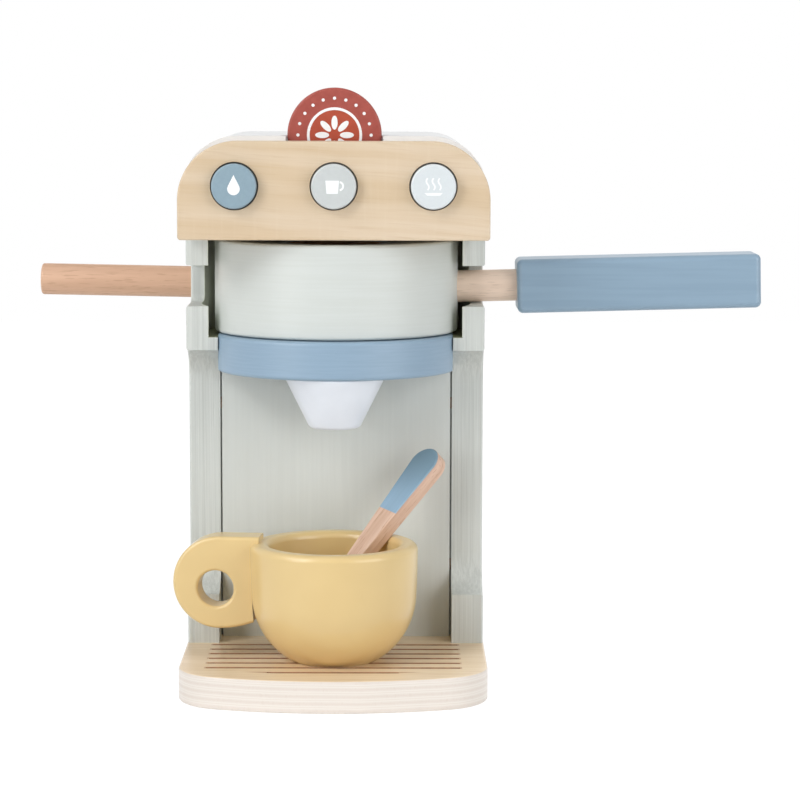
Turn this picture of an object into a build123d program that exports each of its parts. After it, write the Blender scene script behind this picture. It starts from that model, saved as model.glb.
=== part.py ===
from build123d import *
from math import asin, atan, atan2, cos, degrees, hypot, radians, sin, sqrt, tan
import os

# Wooden toy coffee maker: a plywood base, two C-shaped side panels, a head with three
# sprung push buttons and a coin slot, a round filter drum that turns on a dowel by its
# handle, a half-round spout shelf with a funnel, and a loose cup with a stirrer.
# Millimetres. +X is to the viewer's right, +Y to the back, +Z up. The origin lies on the
# underside of the base, straight below the dowel that the drum turns on.

# ---------------------------------------------------------------- boards and body
body_width = 113.6
side_thickness = 12.0
base_thickness = 12.0
back_thickness = 12.0
rear_thickness = 9.0
fascia_thickness = 12.0
floor_thickness = 9.0
head_back_thickness = 9.0
hood_wall = 6.0
plate_thickness = 2.0
edge_round = 0.8
over = 1.0                    # how far a cutter passes the face that it opens

# ---------------------------------------------------------------- base plate
base_nose_reach = 37.0        # how far the base stands out in front of the fascia
base_nose_radius = 140.0
base_front_corner = 20.0
base_back_corner = 3.0
base_overhang = 0.4
grid_pitch = 8.13
grid_back_margin = 3.4        # first groove to the feet of the side panels
grid_half_length = 47.0
grid_nose_margin = 12.5
groove_width = 1.6
groove_depth = 0.4

# ---------------------------------------------------------------- heights
bay_height = 105.0            # base top to the underside of the spout shelf
shelf_thickness = 14.4
drum_gap = 0.3
drum_height = 35.4
head_gap = 1.9
fascia_height = 36.3
hood_proud = 1.8

# ---------------------------------------------------------------- side panels
foot_height = 19.0
cove_radius = 14.0
cheek_lap = 6.0               # how far the head block hangs below the shelf's top
column_setback = 30.0         # fascia face to the front edge of the side panels
inner_edge_round = 1.2
cheek_wall = 4.9              # what the scoop for the drum leaves of a side panel
scoop_gap = 5.0
scoop_drop = 1.3              # drum's underside to the floor of the scoop
notch_gap_below = 0.5
notch_gap_above = 2.75
notch_end_gap = 0.9
notch_corner = 3.0

# ---------------------------------------------------------------- back panel
shadow_gap = 0.7              # rebate down the front corners, beside the side panels
shadow_depth = 4.0

# ---------------------------------------------------------------- filter drum and handle
drum_edge = 1.2
drum_setback = 2.1            # fascia face to the front of the drum
rear_gap = 1.6
well_diameter = 38.4
well_depth = 14.0
well_margin = 5.2
well_edge = 0.6
pivot_diameter = 8.0
pivot_fit = 0.05              # radial running clearance on the pivot dowel
pivot_seat = 22.0
pivot_rise = 17.0
pivot_head_gap = 0.5
dowel_diameter = 12.2
rod_rise = 1.5                # degrees that the rod climbs outwards
rod_drop = 2.0                # middle of the drum to the rod's axis
rod_start = 24.0
rod_end = 94.0
grip_start = 69.6
grip_length = 93.6
grip_section = 20.7
grip_edge = 2.2

# ---------------------------------------------------------------- steam wand dowel
wand_setback = 18.0           # behind the pivot
wand_reach = 116.0
wand_seat = 5.0
wand_lift = 1.35              # rod's axis to the inner end of the wand's axis
wand_rise = 1.0
wand_edge = 1.0

# ---------------------------------------------------------------- head
fascia_overlap = 0.8
fascia_corner = 21.7
fascia_foot_corner = 1.2
fascia_edge = 0.6
hood_corner = 21.0
hood_edge = 1.6
hood_inner_gap = 0.2

# ---------------------------------------------------------------- push buttons
button_diameter = 16.6
button_spread = 0.322         # pitch of the buttons as a share of the body's width
button_height = 19.9          # head underside to the button axis
button_proud = 3.6
button_gap = 0.45
button_edge = 0.7
flange_diameter = 20.0
flange_thickness = 2.0
flange_gap = 0.5
flange_depth = 4.5            # fascia face to the shoulder that stops the flange
spring_diameter = 14.0
spring_wire = 0.7
spring_turns = 3.0

# ---------------------------------------------------------------- coin and its holder
coin_diameter = 35.1
coin_thickness = 5.0
coin_edge = 0.8
coin_gap = 0.5
coin_sink = 17.3
coin_seat_gap = 0.1
slot_length = 40.0
slot_end_share = 0.8          # how much of the slot's half width its corners are rounded
holder_width = 52.0
holder_depth = 12.0

# ---------------------------------------------------------------- spout shelf and funnel
shelf_side_gap = 0.05
shelf_overreach = 1.7         # radius beyond half the bay, so that its ends are cut flat
shelf_shift = 1.6             # centre of its arc behind the face of the back panel
shelf_edge = 1.3
funnel_setback = 18.0         # fascia face to the funnel axis
funnel_top_radius = 19.2
funnel_tip_radius = 9.4
funnel_height = 19.7
funnel_top_round = 0.4
funnel_tip_round = 2.4
funnel_spigot_diameter = 16.0
funnel_spigot_height = 8.0
funnel_bore_diameter = 9.0

# ---------------------------------------------------------------- cup
cup_setback = 3.5             # fascia face to the cup axis
cup_radius = 31.35
cup_height = 43.9
cup_belly_height = 23.6
cup_foot_radius = 16.45
cup_upper_arc = 400.0
cup_wall = 7.2
cup_floor = 6.0
cup_rim_round = 2.5
cup_foot_round = 0.8
cup_turn = -6.0
handle_thickness = 12.0
handle_radius = 17.4
handle_reach = 42.8           # cup axis to the centre of the handle ring
handle_centre_height = 28.8
handle_top_end = 27.6
handle_toe_radius = 28.2
handle_toe_height = 14.5
handle_edge = 1.3
handle_root = 3.0             # stock inside the toe, cut away by the bowl
finger_hole_diameter = 13.6
finger_hole_shift = 1.3
finger_hole_drop = 2.3

# ---------------------------------------------------------------- stirrer
stirrer_length = 89.0
stirrer_thickness = 6.0
stirrer_foot_width = 6.4
stirrer_top_width = 13.4
stirrer_taper_start = 32.0
stirrer_edge = 0.4
stirrer_foot_inset = 10.7     # cup's inner wall at the rim to the middle of the foot
stirrer_foot_heading = 184.6
stirrer_foot_lift = 1.78      # cup's floor to the middle of the foot
stirrer_rim_inset = 3.05      # cup's inner wall to the stick's axis where it leans
stirrer_rim_heading = 43.9

# ---------------------------------------------------------------- fasteners
screw_shank = 3.5
screw_head = 7.0
screw_cone = 2.6
screw_sink = 0.3
base_screw_length = 36.0
shelf_screw_length = 22.0
head_screw_length = 24.0
head_screw_inset = 0.7
screw_margin = 14.0           # screw to the end of the board that it holds
joint_dowel_diameter = 6.0
joint_dowel_length = 20.0
joint_dowel_edge = 0.6
joint_dowel_margin = 28.0     # pin to the end of the board that it holds
fascia_dowel_depth = 7.0

# ---------------------------------------------------------------- places worked out
base_top = base_thickness
shelf_bottom = base_top + bay_height
shelf_top = shelf_bottom + shelf_thickness
drum_bottom = shelf_top + drum_gap
drum_top = drum_bottom + drum_height
drum_middle = (drum_bottom + drum_top) / 2
head_bottom = drum_top + head_gap
fascia_top = head_bottom + fascia_height
hood_top = fascia_top + hood_proud
floor_top = head_bottom + floor_thickness
roof_underside = hood_top - hood_wall

half_body = body_width / 2
bay_half = half_body - side_thickness
scoop_radius = half_body - cheek_wall
drum_radius = scoop_radius - scoop_gap
fascia_front = -(drum_radius + drum_setback)
fascia_back = fascia_front + fascia_thickness
column_front = fascia_front + column_setback
recess_front = column_front + cove_radius
back_front = -back_thickness / 2
back_rear = back_thickness / 2
rear_front = drum_radius + rear_gap
body_back = rear_front + rear_thickness
cheek_bottom = shelf_top - cheek_lap

rod_height = drum_middle - rod_drop
rod_radius = dowel_diameter / 2
rod_slope = tan(radians(rod_rise))
notch_bottom = rod_height + scoop_radius * rod_slope - rod_radius - notch_gap_below
notch_top = rod_height + half_body * rod_slope + rod_radius + notch_gap_above
notch_end = rod_radius + notch_end_gap
scoop_floor = drum_bottom - scoop_drop

button_pitch = body_width * button_spread
button_axis = head_bottom + button_height
shoulder_y = fascia_front + flange_depth
plate_front = fascia_back
plate_back = plate_front + plate_thickness
coin_middle_y = plate_back + coin_gap + coin_thickness / 2
slot_width = coin_thickness + 2 * coin_gap
coin_centre_height = hood_top - coin_sink + coin_diameter / 2
slot_floor = coin_centre_height - coin_diameter / 2 - coin_seat_gap

cup_axis_y = fascia_front + cup_setback
funnel_y = fascia_front + funnel_setback
handle_top = handle_centre_height + handle_radius
stirrer_foot_radius = cup_radius - cup_wall - stirrer_foot_inset
stirrer_rim_radius = cup_radius - cup_wall - stirrer_rim_inset

os.makedirs("parts", exist_ok=True)


# ---------------------------------------------------------------- shared shapes
def block(x0, x1, y0, y1, z0, z1):
    """A square-edged board between two corners."""
    size = (x1 - x0, y1 - y0, z1 - z0)
    return Pos((x0 + x1) / 2, (y0 + y1) / 2, (z0 + z1) / 2) * Box(*size)


def turned(points, x, y, z):
    """A piece turned on a lathe: points are (radius, height), its axis is vertical."""
    profile = make_face(Polyline([(r, 0, h) for r, h in points], close=True))
    return Pos(x, y, z) * revolve(profile, axis=Axis.Z)


def wood_screw(length):
    """A countersunk screw, head flush with z = 0, with its shank along +Z."""
    shank, head = screw_shank / 2, screw_head / 2
    tip = length - screw_shank
    outline = [(0, 0), (head, 0), (shank, screw_cone), (shank, tip), (0, length)]
    return turned(outline, 0, 0, 0)


def wood_dowel(diameter, length, chamfer_size):
    """A round pin along +Z, centred on the origin, with both ends chamfered."""
    pin = Cylinder(diameter / 2, length)
    return chamfer(pin.edges().filter_by(GeomType.CIRCLE), chamfer_size)


def head_outline(half_width, bottom, top, corner):
    """The arched outline of the head, in the XZ plane."""
    shoulder = half_width - corner
    with BuildLine(Plane.XZ) as line:
        Polyline((-half_width, top - corner), (-half_width, bottom), (half_width, bottom),
                 (half_width, top - corner))
        RadiusArc((half_width, top - corner), (shoulder, top), -corner)
        Line((shoulder, top), (-shoulder, top))
        RadiusArc((-shoulder, top), (-half_width, top - corner), -corner)
    return make_face(line.line)


def head_slab(half_width, bottom, top, corner, front, back):
    """The head outline as a board that reaches from front to back."""
    face = head_outline(half_width, bottom, top, corner)
    return Pos(0, back, 0) * extrude(face, back - front, dir=(0, -1, 0))


# ---------------------------------------------------------------- fasteners
def base_screws():
    """Screws up through the base: two into each side panel, two into the back panel."""
    side_x = half_body - side_thickness / 2
    ys = (recess_front + screw_margin, body_back - screw_margin)
    places = [(x, y) for x in (-side_x, side_x) for y in ys]
    places += [(x, 0) for x in (-bay_half / 2, bay_half / 2)]
    return [Pos(x, y, screw_sink) * wood_screw(base_screw_length) for x, y in places]


def shelf_screws():
    """Screws through the back panel into the spout shelf, heads at the hidden face."""
    height = shelf_bottom + shelf_thickness / 2
    places = [Pos(x, back_rear - screw_sink, height) for x in (-bay_half / 2, bay_half / 2)]
    return [place * Rot(90, 0, 0) * wood_screw(shelf_screw_length) for place in places]


def head_screws():
    """Screws down through the head floor into the tops of the side panels."""
    x = bay_half + (side_thickness - hood_wall) / 2 - head_screw_inset
    places = [Pos(side * x, body_back - screw_margin, floor_top - screw_sink) for side in (-1, 1)]
    return [place * Rot(180, 0, 0) * wood_screw(head_screw_length) for place in places]


def joint_dowels():
    """Glued pins across the joints of the side panels with the back and rear panels."""
    low = base_top + joint_dowel_margin
    rear_y = (rear_front + body_back) / 2
    spots = [(0, low), (0, shelf_top - joint_dowel_margin)]
    spots += [(rear_y, low), (rear_y, head_bottom - joint_dowel_margin)]
    pin = Rot(0, 90, 0) * wood_dowel(joint_dowel_diameter, joint_dowel_length, joint_dowel_edge)
    return [Pos(side * bay_half, y, z) * pin for side in (-1, 1) for y, z in spots]


def fascia_dowels():
    """Two glued pins that hold the fascia to the front edge of the head floor."""
    middle = fascia_back - fascia_dowel_depth + joint_dowel_length / 2
    height = (head_bottom + floor_top) / 2
    pin = Rot(90, 0, 0) * wood_dowel(joint_dowel_diameter, joint_dowel_length, joint_dowel_edge)
    return [Pos(x, middle, height) * pin for x in (-button_pitch, button_pitch)]


def drilled(piece, fasteners, sink=None):
    """The piece with the seats of its fasteners cut; sink clears the recess at each head."""
    for fastener in fasteners:
        piece -= fastener
        if sink:
            piece -= sink(fastener)
    return piece


def head_recess(direction):
    """A function that cuts the shallow recess outside a screw's head."""
    def recess(screw):
        face = screw.faces().sort_by(Axis(origin=(0, 0, 0), direction=direction))[-1]
        return extrude(face, screw_sink, dir=direction)
    return recess


# ---------------------------------------------------------------- base and panels
def base_plate():
    """Plywood base with a bowed front, burnt drip lines and countersunk screw holes."""
    half = half_body + base_overhang
    nose = fascia_front - base_nose_reach
    corner_y = nose + base_nose_radius - sqrt(base_nose_radius**2 - half**2)
    with BuildLine() as line:
        Polyline((half, corner_y), (half, body_back), (-half, body_back), (-half, corner_y))
        ThreePointArc((-half, corner_y), (0, nose), (half, corner_y))
    plate = extrude(make_face(line.line), base_thickness)
    upright = plate.edges().filter_by(Axis.Z).sort_by(Axis.Y)
    plate = fillet(upright[:2], base_front_corner)
    upright = plate.edges().filter_by(Axis.Z).sort_by(Axis.Y)
    plate = fillet(upright[-2:], base_back_corner)
    rims = plate.faces().sort_by(Axis.Z)[-1].edges() + plate.faces().sort_by(Axis.Z)[0].edges()
    plate = fillet(rims, edge_round)
    arc_centre = nose + base_nose_radius
    arc_radius = base_nose_radius - grid_nose_margin
    first = column_front - grid_back_margin
    lines = int((first - nose - grid_nose_margin) / grid_pitch) + 1
    for index in range(lines):
        y = first - index * grid_pitch
        reach = min(grid_half_length, sqrt(arc_radius**2 - (arc_centre - y)**2))
        cut = (2 * reach, groove_width, 2 * groove_depth)
        plate -= Pos(0, y, base_top) * Box(*cut)
    return drilled(plate, base_screws(), head_recess((0, 0, -1)))


def side_panel(side):
    """C-shaped side panel with coved inner corners; side is -1 on the left, 1 on the right."""
    foot_top = base_top + foot_height
    cove = cove_radius
    with BuildLine(Plane.YZ) as line:
        Line((recess_front, foot_top + cove), (recess_front, cheek_bottom - cove))
        RadiusArc((recess_front, cheek_bottom - cove), (column_front, cheek_bottom), -cove)
        Polyline((column_front, cheek_bottom), (column_front, head_bottom), (body_back, head_bottom),
                 (body_back, base_top), (column_front, base_top), (column_front, foot_top))
        RadiusArc((column_front, foot_top), (recess_front, foot_top + cove), -cove)
    panel = extrude(make_face(line.line), side_thickness, dir=(1, 0, 0))
    panel = Pos(bay_half, 0, 0) * panel
    notch = block(bay_half - over, half_body + over, column_front - over, notch_end,
                  notch_bottom, notch_top)
    ends = notch.edges().filter_by(Axis.X).sort_by(Axis.Y)[-2:]
    panel -= fillet(ends, notch_corner)
    inner = panel.faces().sort_by(Axis.X)[0].edges()
    inner = inner.filter_by_position(Axis.Y, column_front - over, body_back - over)
    outer = panel.faces().sort_by(Axis.X)[-1].edges()
    for edges, size in ((inner, inner_edge_round), (outer, edge_round)):
        panel = fillet(edges.filter_by_position(Axis.Z, base_top + over, head_bottom - over), size)
    scoop_height = head_bottom + over - scoop_floor
    panel -= Pos(0, 0, scoop_floor + scoop_height / 2) * Cylinder(scoop_radius, scoop_height)
    if side < 0:
        panel = mirror(panel, about=Plane.YZ)
        panel -= steam_wand()
    return drilled(panel, base_screws() + joint_dowels() + head_screws())


def back_panel():
    """Front wall of the body box behind the cup bay; its top edge carries the pivot dowel."""
    panel = block(-bay_half, bay_half, back_front, back_rear, base_top, shelf_top)
    for x in (-bay_half, bay_half):
        panel -= block(x - shadow_gap, x + shadow_gap, back_front - over, back_front + shadow_depth,
                       base_top - over, shelf_top + over)
    panel = drilled(panel, base_screws() + joint_dowels() + [pivot_dowel()])
    return drilled(panel, shelf_screws(), head_recess((0, 1, 0)))


def rear_panel():
    """Board that closes the back of the body between the side panels."""
    panel = block(-bay_half, bay_half, rear_front, body_back, base_top, head_bottom)
    return drilled(panel, joint_dowels())


# ---------------------------------------------------------------- head
def head_floor():
    """Board across the underside of the head, screwed to the side panels."""
    half = half_body - hood_wall
    back = body_back - head_back_thickness
    floor = block(-half, half, fascia_back, back, head_bottom, floor_top)
    floor = drilled(floor, fascia_dowels())
    return drilled(floor, head_screws(), head_recess((0, 0, 1)))


def head_hood():
    """White hood bent round the head, open below and in front, with the coin slot."""
    outer = head_slab(half_body, head_bottom, hood_top, hood_corner, fascia_back, body_back)
    rear_edges = outer.faces().sort_by(Axis.Y)[-1].edges()
    outer = fillet(rear_edges.filter_by(lambda edge: edge.center().Z > head_bottom + hood_edge), hood_edge)
    inner = head_slab(half_body - hood_wall, head_bottom - over, roof_underside,
                      hood_corner - hood_wall, fascia_back - over, body_back + over)
    slot = block(-slot_length / 2, slot_length / 2, plate_back, plate_back + slot_width,
                 roof_underside - over, hood_top + over)
    corner = slot_end_share * slot_width / 2
    return outer - inner - fillet(slot.edges().filter_by(Axis.Z), corner)


def head_back():
    """Board set into the rear of the hood, behind the head floor."""
    return head_slab(half_body - hood_wall, head_bottom, roof_underside,
                     hood_corner - hood_wall, body_back - head_back_thickness, body_back)


def button_places():
    """X of the three buttons, left to right."""
    return (-button_pitch, 0.0, button_pitch)


def fascia():
    """Bare beech front of the head, bored from both sides for the three buttons."""
    half = half_body + fascia_overlap
    board = head_slab(half, head_bottom, fascia_top, fascia_corner, fascia_front, fascia_back)
    feet = board.edges().filter_by(Axis.Y).sort_by(Axis.Z)[:2]
    board = fillet(feet, fascia_foot_corner)
    board = fillet(board.faces().sort_by(Axis.Y)[0].edges(), fascia_edge)
    for x in button_places():
        bore = Cylinder(button_diameter / 2 + button_gap, 2 * fascia_thickness)
        board -= Pos(x, fascia_front, button_axis) * Rot(90, 0, 0) * bore
        depth = fascia_back - shoulder_y
        pocket = Cylinder(flange_diameter / 2 + flange_gap, depth)
        board -= Pos(x, shoulder_y + depth / 2, button_axis) * Rot(90, 0, 0) * pocket
    return drilled(board, fascia_dowels())


def button(x):
    """One turned push button: a round cap with the flange that keeps it in the fascia."""
    tip = button_proud + flange_depth
    cap = Cylinder(button_diameter / 2, tip, align=(Align.CENTER, Align.CENTER, Align.MIN))
    cap = fillet(cap.edges().sort_by(Axis.Z)[-1:], button_edge)
    flange = Cylinder(flange_diameter / 2, flange_thickness,
                      align=(Align.CENTER, Align.CENTER, Align.MAX))
    return Pos(x, shoulder_y, button_axis) * Rot(90, 0, 0) * (cap + flange)


def button_spring(x):
    """Coil spring between a button's flange and the plate behind it."""
    front = shoulder_y + flange_thickness
    room = plate_front - front - spring_wire
    radius = (spring_diameter - spring_wire) / 2
    path = Helix(room / spring_turns, room, radius)
    section = Plane(origin=path @ 0, z_dir=path % 0) * Circle(spring_wire / 2)
    coil = sweep(section, path=path)
    return Pos(x, front + spring_wire / 2, button_axis) * Rot(-90, 0, 0) * coil


def button_plate():
    """Thin hardboard plate glued behind the fascia that the springs push against."""
    half = half_body - hood_wall - hood_inner_gap
    corner = hood_corner - hood_wall - hood_inner_gap
    return head_slab(half, floor_top, roof_underside - hood_inner_gap, corner, plate_front, plate_back)


def coin_holder():
    """Block under the coin slot, with the groove that the coin stands in."""
    half = holder_width / 2
    holder = block(-half, half, plate_back, plate_back + holder_depth, floor_top, roof_underside)
    groove = block(-slot_length / 2, slot_length / 2, plate_back - over, plate_back + slot_width,
                   slot_floor, roof_underside + over)
    return holder - groove


def coffee_coin():
    """Round wooden coin that stands half out of the slot."""
    coin = Cylinder(coin_diameter / 2, coin_thickness)
    coin = fillet(coin.edges().filter_by(GeomType.CIRCLE), coin_edge)
    return Pos(0, coin_middle_y, coin_centre_height) * Rot(90, 0, 0) * coin


# ---------------------------------------------------------------- spout
def spout_shelf():
    """Half-round blue shelf on the back panel, under the drum."""
    radius = bay_half + shelf_overreach
    disc = Cylinder(radius, shelf_thickness, align=(Align.CENTER, Align.CENTER, Align.MIN))
    half = bay_half - shelf_side_gap
    front = back_front - radius
    cut = block(-half, half, front, back_front, shelf_bottom, shelf_top)
    shelf = Pos(0, back_front + shelf_shift, shelf_bottom) * disc & cut
    shelf = fillet(shelf.edges().filter_by(GeomType.CIRCLE), shelf_edge)
    bore = Cylinder(funnel_spigot_diameter / 2, funnel_spigot_height,
                    align=(Align.CENTER, Align.CENTER, Align.MIN))
    shelf -= Pos(0, funnel_y, shelf_bottom) * bore
    return drilled(shelf, shelf_screws())


def funnel():
    """Turned white spout with a spigot glued into the shelf and a blind outlet bore."""
    tip = -funnel_height
    spigot = funnel_spigot_diameter / 2
    bore = funnel_bore_diameter / 2
    outline = [(0, tip + bore), (bore, tip + bore), (bore, tip), (funnel_tip_radius, tip),
               (funnel_top_radius, 0), (spigot, 0), (spigot, funnel_spigot_height),
               (0, funnel_spigot_height)]
    spout = turned(outline, 0, funnel_y, shelf_bottom)
    rims = spout.edges().filter_by(GeomType.CIRCLE)
    spout = fillet(rims.sort_by(SortBy.RADIUS)[-1:], funnel_top_round)
    tip_edges = spout.edges().filter_by(GeomType.CIRCLE).group_by(Axis.Z)[0]
    return fillet(tip_edges.sort_by(SortBy.RADIUS)[-1:], funnel_tip_round)


# ---------------------------------------------------------------- drum and handle
def pivot_dowel():
    """Upright dowel glued into the back panel's top edge; the drum turns on it."""
    length = pivot_seat + drum_gap + pivot_rise
    pin = wood_dowel(pivot_diameter, length, joint_dowel_edge)
    return Pos(0, 0, shelf_top - pivot_seat + length / 2) * pin


def handle_rod():
    """Beech dowel between the drum and the grip; it climbs outwards."""
    pin = Cylinder(rod_radius, rod_end - rod_start, align=(Align.CENTER, Align.CENTER, Align.MIN))
    return Pos(0, 0, rod_height) * Rot(0, -rod_rise, 0) * Pos(rod_start, 0, 0) * Rot(0, 90, 0) * pin


def handle_grip():
    """Square blue grip with rounded edges, bored for the rod."""
    grip = Pos(grip_start + grip_length / 2, 0, 0) * Box(grip_length, grip_section, grip_section)
    grip = fillet(grip.edges(), grip_edge)
    return Pos(0, 0, rod_height) * Rot(0, -rod_rise, 0) * grip - handle_rod()


def steam_wand():
    """Short beech dowel glued into the left side panel."""
    length = wand_reach - half_body + wand_seat
    pin = Cylinder(rod_radius, length, align=(Align.CENTER, Align.CENTER, Align.MIN))
    pin = fillet(pin.edges().sort_by(Axis.Z)[-1:], wand_edge)
    place = Pos(-(half_body - wand_seat), wand_setback, rod_height + wand_lift)
    return place * Rot(0, wand_rise - 90, 0) * pin


def portafilter_drum():
    """Turned drum with the coin well near its front and the pivot hole below."""
    drum = Cylinder(drum_radius, drum_height, align=(Align.CENTER, Align.CENTER, Align.MIN))
    drum = Pos(0, 0, drum_bottom) * drum
    drum = fillet(drum.edges().filter_by(GeomType.CIRCLE), drum_edge)
    well_y = -(drum_radius - well_margin - well_diameter / 2)
    well = Cylinder(well_diameter / 2, well_depth, align=(Align.CENTER, Align.CENTER, Align.MAX))
    drum -= Pos(0, well_y, drum_top) * well
    rims = drum.edges().filter_by(GeomType.CIRCLE).group_by(Axis.Z)[-1]
    drum = chamfer(rims.sort_by(SortBy.RADIUS)[:1], well_edge)
    hole = Cylinder(pivot_diameter / 2 + pivot_fit, pivot_rise + pivot_head_gap,
                    align=(Align.CENTER, Align.CENTER, Align.MIN))
    return drum - Pos(0, 0, drum_bottom) * hole - handle_rod()


# ---------------------------------------------------------------- cup and stirrer
def on_arc(centre, radius, height):
    """The point of a wall arc at a height."""
    return (centre[0] + sqrt(radius**2 - (height - centre[1])**2), height)


def wall_arcs():
    """Centre and radius of the two tangent arcs of the cup's outer wall.

    A wide arc runs from the rim down to the belly, a tighter one from there to the foot."""
    upper = (cup_radius - cup_upper_arc, cup_height)
    lean = asin((cup_height - cup_belly_height) / cup_upper_arc)
    joint_x = upper[0] + cup_upper_arc * cos(lean)
    run, rise = joint_x - cup_foot_radius, cup_belly_height
    radius = (run**2 + rise**2) / (2 * (run * cos(lean) - rise * sin(lean)))
    lower = (joint_x - radius * cos(lean), cup_belly_height + radius * sin(lean))
    return upper, cup_upper_arc, lower, radius, lean


def cup_solid(inset, floor, top):
    """Solid inside the cup's outer form less an even inset, from floor height to top."""
    upper_centre, upper, lower_centre, lower, lean = wall_arcs()
    upper, lower = upper - inset, lower - inset
    belly = cup_height - upper * sin(lean)
    foot = on_arc(lower_centre, lower, floor)
    joint = on_arc(upper_centre, upper, belly)
    rim = on_arc(upper_centre, upper, cup_height)
    with BuildLine(Plane.XZ) as line:
        Line((0, floor), foot)
        ThreePointArc(foot, on_arc(lower_centre, lower, (floor + belly) / 2), joint)
        ThreePointArc(joint, on_arc(upper_centre, upper, (belly + cup_height) / 2), rim)
        Polyline(rim, (rim[0], top), (0, top), (0, floor))
    return revolve(make_face(line.line), axis=Axis.Z)


def on_base(piece):
    """Sets a cup piece, modelled about its own axis, down on the base."""
    return Pos(0, cup_axis_y, base_top) * Rot(0, 0, cup_turn) * piece


def cup_bowl():
    """Turned cup with a thick rounded rim."""
    top = cup_height + over
    bowl = cup_solid(0, 0, top) - cup_solid(cup_wall, cup_floor, top)
    bowl = split(bowl, Plane.XY.offset(cup_height), keep=Keep.BOTTOM)
    rim = bowl.edges().filter_by(GeomType.CIRCLE).group_by(Axis.Z)[-1]
    bowl = fillet(rim, cup_rim_round)
    foot = bowl.edges().filter_by(GeomType.CIRCLE).group_by(Axis.Z)[0]
    return on_base(fillet(foot, cup_foot_round))


def cup_handle():
    """Flat ring handle, turned to the wall's upper curve so that a thin gap opens below."""
    x, z = -handle_reach, handle_centre_height
    toe = (-handle_toe_radius, handle_toe_height)
    drop = toe[1] - (z - handle_radius)
    run = toe[0] - x
    toe_arc = (run**2 + drop**2) / (2 * drop)
    with BuildLine(Plane.XZ) as line:
        ThreePointArc((x, z + handle_radius), (x - handle_radius, z), (x, z - handle_radius))
        RadiusArc((x, z - handle_radius), toe, -toe_arc)
        Polyline(toe, (-handle_toe_radius + handle_root, z), (-handle_top_end, z),
                 (-handle_top_end, handle_top), (x, handle_top))
    ring = extrude(make_face(line.line), handle_thickness / 2, both=True)
    hole = Cylinder(finger_hole_diameter / 2, 2 * handle_thickness)
    ring -= Pos(x - finger_hole_shift, 0, z - finger_hole_drop) * Rot(90, 0, 0) * hole
    sides = ring.faces().filter_by(Plane.XZ).edges()
    outline = sides.filter_by(lambda edge: edge.center().X < -handle_toe_radius)
    ring = fillet(outline, handle_edge)
    centre = wall_arcs()[0]
    low, middle, high = (on_arc(centre, cup_upper_arc, h) for h in (0, cup_height / 2, cup_height))
    with BuildLine(Plane.XZ) as seat:
        ThreePointArc(low, middle, high)
        Polyline(high, (0, cup_height), (0, 0), low)
    plug = revolve(make_face(seat.line), axis=Axis.Z)
    rim = plug.edges().filter_by(GeomType.CIRCLE).group_by(Axis.Z)[-1]
    return on_base(ring - fillet(rim, cup_rim_round))


def in_cup(radius, heading, height):
    """A point in the cup, from its distance to the cup's axis and its heading."""
    angle = radians(heading)
    return Vector(radius * cos(angle), cup_axis_y + radius * sin(angle), base_top + height)


def stirrer():
    """Beech stirring stick that stands on the cup's floor and leans flat on its rim."""
    foot, top = stirrer_foot_width / 2, stirrer_top_width / 2
    neck = stirrer_length - top
    with BuildLine(Plane.YZ) as line:
        ThreePointArc((-foot, foot), (0, 0), (foot, foot))
        Polyline((foot, foot), (foot, stirrer_taper_start), (top, neck))
        ThreePointArc((top, neck), (0, stirrer_length), (-top, neck))
        Polyline((-top, neck), (-foot, stirrer_taper_start), (-foot, foot))
    stick = extrude(make_face(line.line), stirrer_thickness / 2, both=True)
    stick = chamfer(stick.faces().filter_by(Plane.YZ).edges(), stirrer_edge)
    stand = in_cup(stirrer_foot_radius, stirrer_foot_heading, cup_floor + stirrer_foot_lift)
    lean = in_cup(stirrer_rim_radius, stirrer_rim_heading, cup_height) - stand
    heading = degrees(atan2(lean.Y, lean.X))
    tilt = atan2(hypot(lean.X, lean.Y), lean.Z)
    roll = atan(tan(radians(stirrer_rim_heading - heading)) * cos(tilt))
    turn = Rot(0, 0, heading) * Rot(0, degrees(tilt), 0) * Rot(0, 0, degrees(roll))
    return Pos(stand) * turn * stick


# ---------------------------------------------------------------- write the pieces
pieces = {
    "base_plate": base_plate(),
    "left_side_panel": side_panel(-1),
    "right_side_panel": side_panel(1),
    "back_panel": back_panel(),
    "rear_panel": rear_panel(),
    "head_floor": head_floor(),
    "head_hood": head_hood(),
    "head_back": head_back(),
    "fascia": fascia(),
    "button_plate": button_plate(),
    "coin_holder": coin_holder(),
    "coffee_coin": coffee_coin(),
    "spout_shelf": spout_shelf(),
    "funnel": funnel(),
    "pivot_dowel": pivot_dowel(),
    "steam_wand": steam_wand(),
    "portafilter_drum": portafilter_drum(),
    "handle_rod": handle_rod(),
    "handle_grip": handle_grip(),
    "cup_bowl": cup_bowl(),
    "cup_handle": cup_handle(),
    "stirrer": stirrer(),
    "base_screws": Compound(base_screws()),
    "shelf_screws": Compound(shelf_screws()),
    "head_screws": Compound(head_screws()),
    "joint_dowels": Compound(joint_dowels()),
    "fascia_dowels": Compound(fascia_dowels()),
}
for name, x in zip(("left", "middle", "right"), button_places()):
    pieces[f"{name}_button"] = button(x)
    pieces[f"{name}_button_spring"] = button_spring(x)

for name, piece in pieces.items():
    export_step(piece, f"parts/{name}.step")
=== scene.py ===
from math import atan, atan2, cos, hypot, pi, radians, sin, tan

import bmesh
import bpy
from mathutils import Matrix, Vector


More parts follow.
